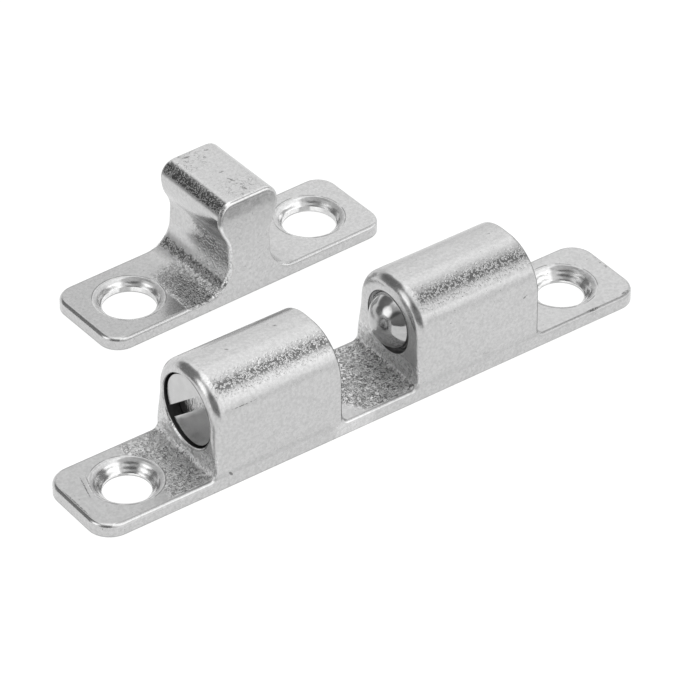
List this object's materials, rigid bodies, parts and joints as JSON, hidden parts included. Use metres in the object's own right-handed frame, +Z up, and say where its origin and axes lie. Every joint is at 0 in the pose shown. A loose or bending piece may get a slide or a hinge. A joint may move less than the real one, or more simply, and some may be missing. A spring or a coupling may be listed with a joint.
{
  "type": "double ball catch",
  "caption": "Cabinet door catch: a plate with facing barrels whose sprung balls grip the tongue of a separate strike plate.",
  "frame": {"origin": "middle of the catch's flat mounting face", "axes": "+X along the catch from its left end to its right end, +Y across it towards the strike, +Z up from the mounting face"},
  "size_m": [0.06, 0.0326, 0.0109],
  "materials": {
    "cast_body": "nickel-plated casting, satin bright with a grainy cast texture",
    "cast_strike": "nickel-plated casting, satin bright with a grainy cast texture",
    "ball_steel": "polished hardened steel",
    "spring_steel": "drawn steel wire",
    "screw_steel": "turned, plated steel"
  },
  "bodies": {
    "root": {"catch_body": "cast_body", "strike_plate": "cast_strike"},
    "ball_left": {"ball_left": "ball_steel"},
    "ball_right": {"ball_right": "ball_steel"},
    "spring_left": {"spring_left": "spring_steel"},
    "spring_right": {"spring_right": "spring_steel"},
    "adjusting_screw_left": {"adjusting_screw_left": "screw_steel"},
    "adjusting_screw_right": {"adjusting_screw_right": "screw_steel"}
  },
  "joints": [
    {"name": "ball_left_press", "type": "slide", "parent": "root", "child": "ball_left", "axis": [-1, 0, 0], "range_m": [0, 0.0015], "stiffness_N_per_m": 2500, "springref_m": -0.002, "deforming": ["spring_left"]},
    {"name": "screw_left_advance", "type": "slide", "parent": "root", "child": "spring_left", "axis": [1, 0, 0], "range_m": [-0.0005, 0.001], "deforming": ["spring_left"]},
    {"name": "screw_left_turn", "type": "hinge", "parent": "spring_left", "child": "adjusting_screw_left", "pos_m": [-0.01553, 0, 0.006], "axis": [1, 0, 0], "range_deg": [-240, 480]},
    {"name": "ball_right_press", "type": "slide", "parent": "root", "child": "ball_right", "axis": [1, 0, 0], "range_m": [0, 0.0015], "stiffness_N_per_m": 2500, "springref_m": -0.002, "deforming": ["spring_right"]},
    {"name": "screw_right_advance", "type": "slide", "parent": "root", "child": "spring_right", "axis": [-1, 0, 0], "range_m": [-0.0005, 0.001], "deforming": ["spring_right"]},
    {"name": "screw_right_turn", "type": "hinge", "parent": "spring_right", "child": "adjusting_screw_right", "pos_m": [0.01553, 0, 0.006], "axis": [-1, 0, 0], "range_deg": [-240, 480]}
  ],
  "couplings": [
    {"joint": "screw_left_turn", "follows": "screw_left_advance", "rad_per_m": 8377.5},
    {"joint": "screw_right_turn", "follows": "screw_right_advance", "rad_per_m": 8377.5}
  ]
}
